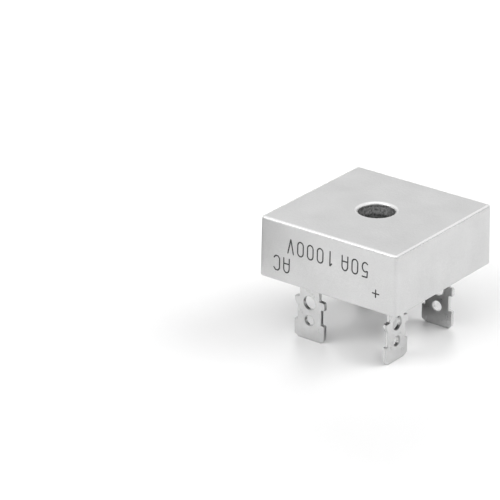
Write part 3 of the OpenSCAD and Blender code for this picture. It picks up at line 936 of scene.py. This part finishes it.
tabs = [place_tab(terminal) for terminal in terminals]
for tab in tabs:
    print(tab.name, "has", sum(len(face.vertices) - 2 for face in tab.data.polygons), "triangles")

# %% [markdown]
# The print on the case
#
# The side over the first AC tab carries the terminal marks and a rating, in the thin round strokes of an
# ink jet marker. They stand on their heads here, because the part is read with its tabs up. A font would
# give filled letters of uneven weight, so each letter is a few centre lines instead, and every line is
# swept into a stroke of one width: a very flat tube with round ends, half sunk in the wall, as dried ink
# has a domed back and a thin edge.


# %% Draw the letters
def bow(middle, radii, start, end, count=9):
    """Points on an ellipse from one angle to another, in degrees."""
    angle = np.radians(np.linspace(start, end, count))
    return np.array(middle) + np.array(radii) * np.column_stack([np.cos(angle), np.sin(angle)])


def letter_lines():
    """Centre lines of each letter, in a cell 1 wide and 2 high, with the origin at its lower left."""
    ring = [bow((0.5, 1.5), (0.5, 0.5), 0, 180), bow((0.5, 0.5), (0.5, 0.5), 180, 360), [(1.0, 1.5)]]
    bowl = [[(0.95, 2.0), (0.1, 2.0), (0.05, 1.15)], bow((0.45, 0.65), (0.53, 0.65), 125, -135)]
    return {
        "0": [np.concatenate(ring)],
        "1": [np.array([(0.2, 1.65), (0.5, 2.0), (0.5, 0.0)])],
        "5": [np.concatenate(bowl)],
        "A": [
            np.concatenate([[(0.0, 0.0)], bow((0.5, 1.4), (0.5, 0.6), 180, 0), [(1.0, 0.0)]]),
            np.array([(0.0, 0.75), (1.0, 0.75)]),
        ],
        "C": [np.array([(1.0, 1.7), (0.72, 2.0), (0.28, 2.0), (0.0, 1.7), (0.0, 0.3), (0.28, 0.0),
                        (0.72, 0.0), (1.0, 0.3)])],
        "V": [np.array([(0.0, 2.0), (0.5, 0.0), (1.0, 2.0)])],
        "+": [np.array([(0.0, 0.5), (1.0, 0.5)]), np.array([(0.5, 0.0), (0.5, 1.0)])],
    }


letters = letter_lines()
print("there are lines for the letters", "".join(letters))


# %% Sweep the strokes
def even_path(line, step):
    """The same line with points at equal steps, and its corners eased by a running mean."""
    lengths = np.concatenate([[0.0], np.cumsum(np.linalg.norm(np.diff(line, axis=0), axis=1))])
    count = max(int(np.ceil(lengths[-1] / step)), 4) + 1
    at = np.linspace(0.0, lengths[-1], count)
    path = np.column_stack([np.interp(at, lengths, line[:, k]) for k in (0, 1)])
    path[1:-1] = (path[:-2] + path[1:-1] + path[2:]) / 3
    return path


def ink_stroke(line, start):
    """Sweeps one stroke on the marked side. Across the path it is a flat ellipse, and towards both ends
    its width shrinks as sqrt(1 - s squared), with s the distance into the round end over the half width.
    The marked side leans, so its y changes evenly with the height. Returns the points in space, the side
    faces and the two end faces."""
    path = even_path(line, stroke_step)
    along = np.gradient(path, axis=0)
    along = along / np.linalg.norm(along, axis=1)[:, None]
    s = np.array([0.98, 0.85, 0.6, 0.3])
    cap = stroke_w / 2 * s[:, None]
    path = np.concatenate([path[:1] - along[:1] * cap, path, path[-1:] + along[-1:] * cap[::-1]])
    along = np.concatenate([along[[0] * len(s)], along, along[[-1] * len(s)]])
    shrink = np.sqrt(1.0 - s**2)
    width = np.concatenate([shrink, np.ones(len(path) - 2 * len(s)), shrink[::-1]])[:, None]
    angle = np.linspace(0.0, 2 * np.pi, stroke_sides, endpoint=False)[None, :]
    across = stroke_w / 2 * width * np.cos(angle)
    u = path[:, :1] - along[:, 1:] * across
    v = path[:, 1:] + along[:, :1] * across
    proud = stroke_t * width * np.sin(angle)
    wall_y = wall_lean * (-v - wall_foot_z) / (wall_top_z - wall_foot_z) - half_side
    points = np.stack([-u, wall_y - proud, -v], axis=-1)
    sides = start + grid_faces(len(path), stroke_sides, closed=False)
    ring = np.arange(stroke_sides)
    ends = start + np.array([ring[::-1], (len(path) - 1) * stroke_sides + ring])
    return points.reshape(-1, 3), sides, ends


def print_row(text, place, width, height):
    """Lines of a row of text that starts at a place (x, z) on the marked side and reads towards -X, with
    the letters' tops towards -Z. Each letter takes one pitch, and a blank takes half of one."""
    lines, x = [], -place[0]
    for letter in text:
        for line in letters.get(letter, []):
            lines.append(line * [width, height / 2] + [x, -place[1]])
        x += pitch if letter in letters else pitch / 2
    return lines


stroke_w, stroke_t, stroke_step, stroke_sides = 0.26 * MM, 0.01 * MM, 0.05 * MM, 8
letter_w, letter_h, pitch = 1.17 * MM, 2.62 * MM, 2.07 * MM
plus_w, plus_h = 1.3 * MM, 2.6 * MM
rating_place = (8.4 * MM, rim_z + 8.4 * MM)
ac_place = (-7.95 * MM, rim_z + 4.65 * MM)
plus_place = (10.8 * MM, rim_z + 4.0 * MM)
lines = print_row("50A 1000V", rating_place, letter_w, letter_h)
lines += print_row("AC", ac_place, letter_w, letter_h)
lines += print_row("+", plus_place, plus_w, plus_h)
print("the print has", len(lines), "strokes")


# %% Mix the ink and print it
def printed_ink():
    """Dark dried ink, matt, with thin spots where the metal's grain shows through as a paler grey."""
    material, tree, shader, place = start_material("printed_ink")
    grain = noise(tree, place, 0.15)
    tone = spread(tree, grain, 0.01, 0.04)
    rough = spread(tree, grain, 0.5, 0.7)
    drive_shader(tree, shader, tone, rough, [(grain, 0.004)])
    return material


start, parts = 0, []
for line in lines:
    parts.append(ink_stroke(line, start))
    start += len(parts[-1][0])
print_points, print_sides, print_ends = (np.concatenate(group) for group in zip(*parts))
ink_groups = [(print_sides, 0, True), (print_ends, 0, True)]
add_piece("rating_print", print_points, ink_groups, [printed_ink()])
end_triangles = len(print_ends) * (stroke_sides - 2)
print("the print has", 2 * len(print_sides) + end_triangles, "triangles")

# %% [markdown]
# The sealed pieces
#
# The ceramic plate, the copper, the silicon and the solder lie inside the resin. They keep the meshes of
# the CAD model, whose flat faces suit stamped and sawn parts, and each kind of piece gets its own finish,
# so that a cut-away view of the part looks right too.


# %% Mix the sealed finishes
def inner_finish(name, colour, tone, roughness, metallic, lump, depth):
    """One plain finish. Noise with lumps of the given size drives the tone, the roughness and the relief.
    The colour is multiplied by the tone, and tone and roughness run between their two limits."""
    material, tree, shader, place = start_material(name, metallic)
    cloud = noise(tree, place, lump, 3.0)
    shade = tree.nodes.new("ShaderNodeVectorMath")
    shade.operation = "SCALE"
    shade.inputs[0].default_value = colour
    tree.links.new(spread(tree, cloud, *tone), shade.inputs["Scale"])
    rough = spread(tree, cloud, *roughness)
    drive_shader(tree, shader, shade.outputs["Vector"], rough, [(cloud, depth)])
    return material


# For each slot: name, colour, tones, roughnesses, metallic share, size of the lumps and their depth
sealed_kinds = {
    "bond_adhesive": ("cured_adhesive", (0.85, 0.85, 0.82), (0.9, 1.0), (0.5, 0.65), 0.0, 0.5, 0.02),
    "alumina": ("fired_alumina", (0.9, 0.9, 0.88), (0.94, 1.0), (0.4, 0.55), 0.0, 0.12, 0.005),
    "copper": ("stamped_copper", (0.72, 0.42, 0.3), (0.85, 1.05), (0.25, 0.4), 1.0, 0.8, 0.01),
    "silicon": ("metallised_silicon", (0.2, 0.21, 0.23), (0.9, 1.1), (0.15, 0.25), 0.5, 0.3, 0.002),
    "solder": ("dull_solder", (0.6, 0.6, 0.62), (0.85, 1.0), (0.4, 0.55), 1.0, 0.25, 0.015),
}
sealed = {slot: inner_finish(*kind) for slot, kind in sealed_kinds.items()}
print("there are", len(sealed), "sealed finishes")

# %% Give them to the sealed pieces
slots = {part["node"]: part["material_slot"] for part in frame["record"]["subparts"]}
for name, node in frame["nodes"].items():
    if slots[name] in sealed:
        node.data.materials.clear()
        node.data.materials.append(sealed[slots[name]])
print(sum(slot in sealed for slot in slots.values()), "sealed pieces have their finish")
